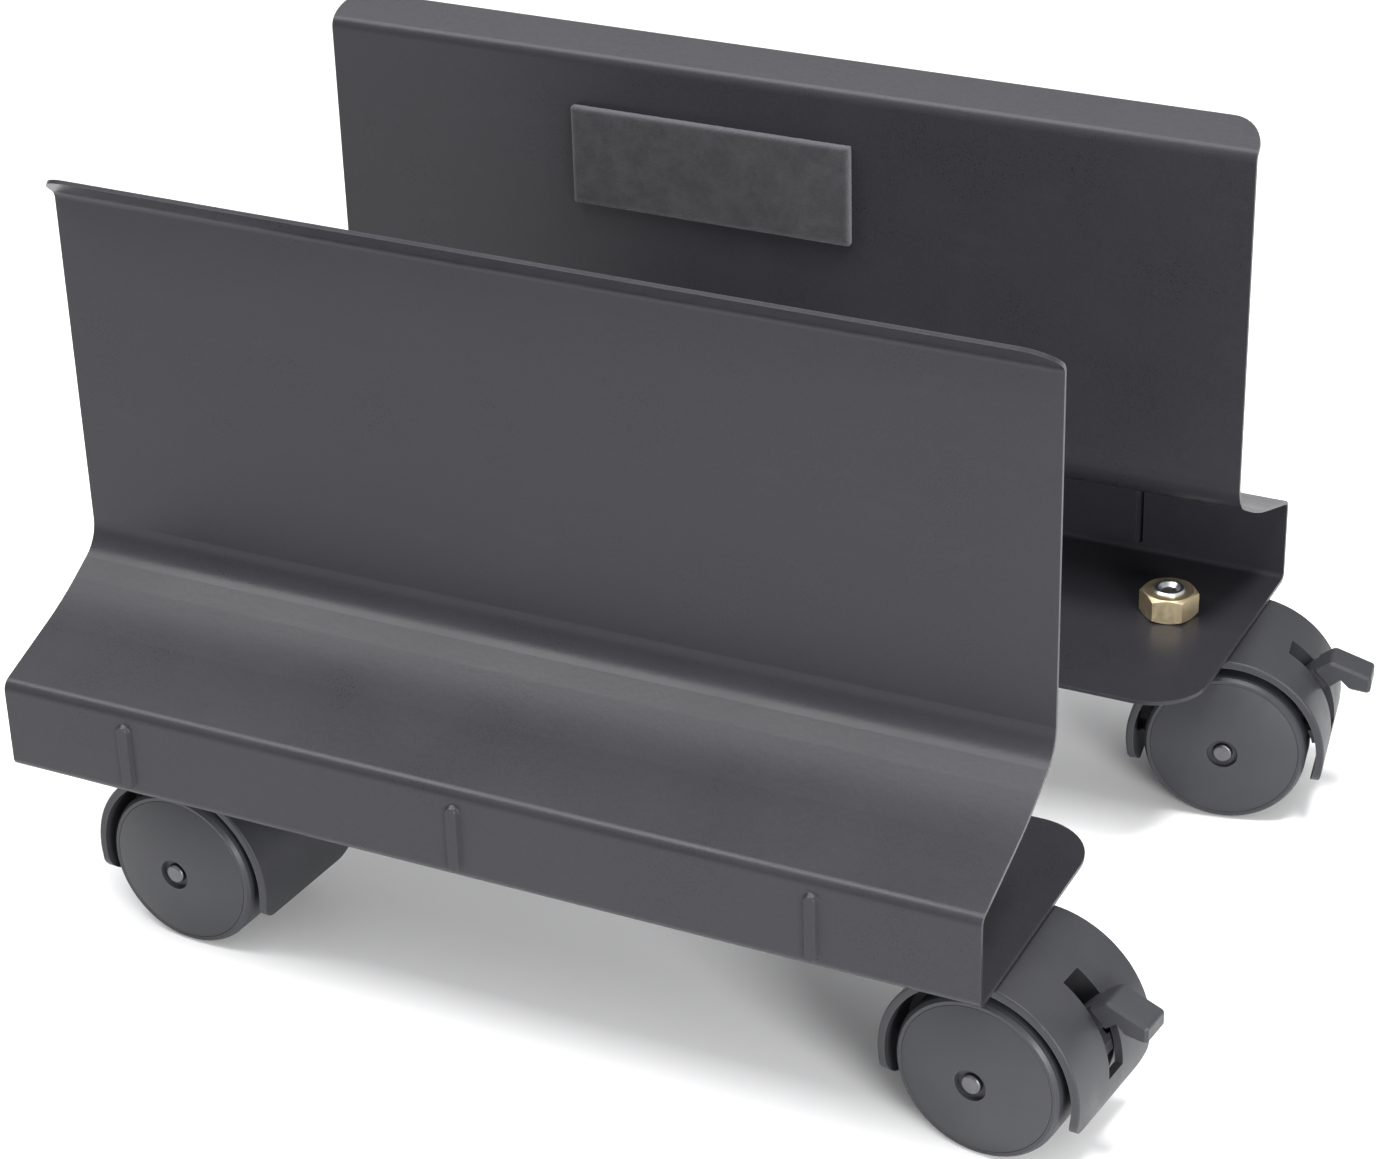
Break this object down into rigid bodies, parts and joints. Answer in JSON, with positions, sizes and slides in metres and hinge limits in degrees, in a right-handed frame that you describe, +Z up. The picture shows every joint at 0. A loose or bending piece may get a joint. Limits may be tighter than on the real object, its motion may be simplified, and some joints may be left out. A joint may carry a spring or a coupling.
{
  "type": "cpu holder",
  "caption": "Rolling computer tower holder: bent steel side panels with foam pads, a slotted base that adjusts in width, and swivel casters with foot brakes.",
  "frame": {"origin": "on the floor, under the middle of the whole object's box at rest", "axes": "+X along the side panels towards the braked casters, +Y towards the sliding back panel, +Z up"},
  "size_m": [0.3434, 0.2588, 0.227],
  "materials": {
    "panel_steel": "charcoal powder coat, satin",
    "pad_foam": "soft closed-cell foam, matt",
    "caster_nylon": "moulded nylon, fine texture",
    "wheel_nylon": "moulded nylon, satin",
    "zinc_yellow": "yellow-passivated zinc",
    "zinc_steel": "bright zinc plated",
    "axle_steel": "dark oiled steel"
  },
  "bodies": {
    "front_frame": {"front_side_panel": "panel_steel", "front_foam_pad": "pad_foam", "left_link_bar": "panel_steel", "right_link_bar": "panel_steel", "bar_bolts": "zinc_steel", "bar_nuts": "zinc_steel", "front_left_stem": "zinc_steel", "front_left_stem_ring": "zinc_steel", "front_left_stem_nut": "zinc_yellow", "front_right_stem": "zinc_steel", "front_right_stem_ring": "zinc_steel", "front_right_stem_nut": "zinc_yellow"},
    "back_frame": {"back_side_panel": "panel_steel", "back_foam_pad": "pad_foam", "clamp_bolts": "zinc_steel", "clamp_washers": "zinc_steel", "clamp_nuts": "zinc_steel", "back_left_stem": "zinc_steel", "back_left_stem_ring": "zinc_steel", "back_left_stem_nut": "zinc_yellow", "back_right_stem": "zinc_steel", "back_right_stem_ring": "zinc_steel", "back_right_stem_nut": "zinc_yellow"},
    "front_left_caster": {"front_left_housing": "caster_nylon", "front_left_axle": "axle_steel"},
    "front_left_outer_wheel": {"front_left_outer_wheel": "wheel_nylon"},
    "front_left_inner_wheel": {"front_left_inner_wheel": "wheel_nylon"},
    "front_right_caster": {"front_right_housing": "caster_nylon", "front_right_axle": "axle_steel", "front_right_lever_pin": "zinc_steel"},
    "front_right_outer_wheel": {"front_right_outer_wheel": "wheel_nylon"},
    "front_right_inner_wheel": {"front_right_inner_wheel": "wheel_nylon"},
    "front_right_brake_lever": {"front_right_brake_lever": "caster_nylon"},
    "back_left_caster": {"back_left_housing": "caster_nylon", "back_left_axle": "axle_steel"},
    "back_left_outer_wheel": {"back_left_outer_wheel": "wheel_nylon"},
    "back_left_inner_wheel": {"back_left_inner_wheel": "wheel_nylon"},
    "back_right_caster": {"back_right_housing": "caster_nylon", "back_right_axle": "axle_steel", "back_right_lever_pin": "zinc_steel"},
    "back_right_outer_wheel": {"back_right_outer_wheel": "wheel_nylon"},
    "back_right_inner_wheel": {"back_right_inner_wheel": "wheel_nylon"},
    "back_right_brake_lever": {"back_right_brake_lever": "caster_nylon"}
  },
  "joints": [
    {"name": "width_slide", "type": "slide", "parent": "front_frame", "child": "back_frame", "axis": [0, 1, 0], "range_m": [-0.03, 0.04]},
    {"name": "front_left_swivel", "type": "hinge", "parent": "front_frame", "child": "front_left_caster", "pos_m": [-0.14622, -0.091, 0.0555], "axis": [0, 0, 1], "continuous": true},
    {"name": "front_left_outer_spin", "type": "hinge", "parent": "front_left_caster", "child": "front_left_outer_wheel", "pos_m": [-0.12427, -0.09254, 0.025], "axis": [0.0698, 0.9976, 0], "continuous": true},
    {"name": "front_left_inner_spin", "type": "hinge", "parent": "front_left_caster", "child": "front_left_inner_wheel", "pos_m": [-0.12427, -0.09254, 0.025], "axis": [0.0698, 0.9976, 0], "continuous": true},
    {"name": "front_right_swivel", "type": "hinge", "parent": "front_frame", "child": "front_right_caster", "pos_m": [0.10778, -0.091, 0.0555], "axis": [0, 0, 1], "continuous": true},
    {"name": "front_right_outer_spin", "type": "hinge", "parent": "front_right_caster", "child": "front_right_outer_wheel", "pos_m": [0.12966, -0.0933, 0.025], "axis": [0.1045, 0.9945, 0], "continuous": true},
    {"name": "front_right_inner_spin", "type": "hinge", "parent": "front_right_caster", "child": "front_right_inner_wheel", "pos_m": [0.12966, -0.0933, 0.025], "axis": [0.1045, 0.9945, 0], "continuous": true},
    {"name": "front_right_brake", "type": "hinge", "parent": "front_right_caster", "child": "front_right_brake_lever", "pos_m": [0.14806, -0.09523, 0.034], "axis": [0.1045, 0.9945, 0], "range_deg": [0, 11]},
    {"name": "back_left_swivel", "type": "hinge", "parent": "back_frame", "child": "back_left_caster", "pos_m": [-0.14622, 0.091, 0.0555], "axis": [0, 0, 1], "continuous": true},
    {"name": "back_left_outer_spin", "type": "hinge", "parent": "back_left_caster", "child": "back_left_outer_wheel", "pos_m": [-0.12422, 0.091, 0.025], "axis": [0, 1, 0], "continuous": true},
    {"name": "back_left_inner_spin", "type": "hinge", "parent": "back_left_caster", "child": "back_left_inner_wheel", "pos_m": [-0.12422, 0.091, 0.025], "axis": [0, 1, 0], "continuous": true},
    {"name": "back_right_swivel", "type": "hinge", "parent": "back_frame", "child": "back_right_caster", "pos_m": [0.10778, 0.091, 0.0555], "axis": [0, 0, 1], "continuous": true},
    {"name": "back_right_outer_spin", "type": "hinge", "parent": "back_right_caster", "child": "back_right_outer_wheel", "pos_m": [0.12945, 0.09482, 0.025], "axis": [-0.1736, 0.9848, 0], "continuous": true},
    {"name": "back_right_inner_spin", "type": "hinge", "parent": "back_right_caster", "child": "back_right_inner_wheel", "pos_m": [0.12945, 0.09482, 0.025], "axis": [-0.1736, 0.9848, 0], "continuous": true},
    {"name": "back_right_brake", "type": "hinge", "parent": "back_right_caster", "child": "back_right_brake_lever", "pos_m": [0.14766, 0.09803, 0.034], "axis": [-0.1736, 0.9848, 0], "range_deg": [0, 11]}
  ]
}
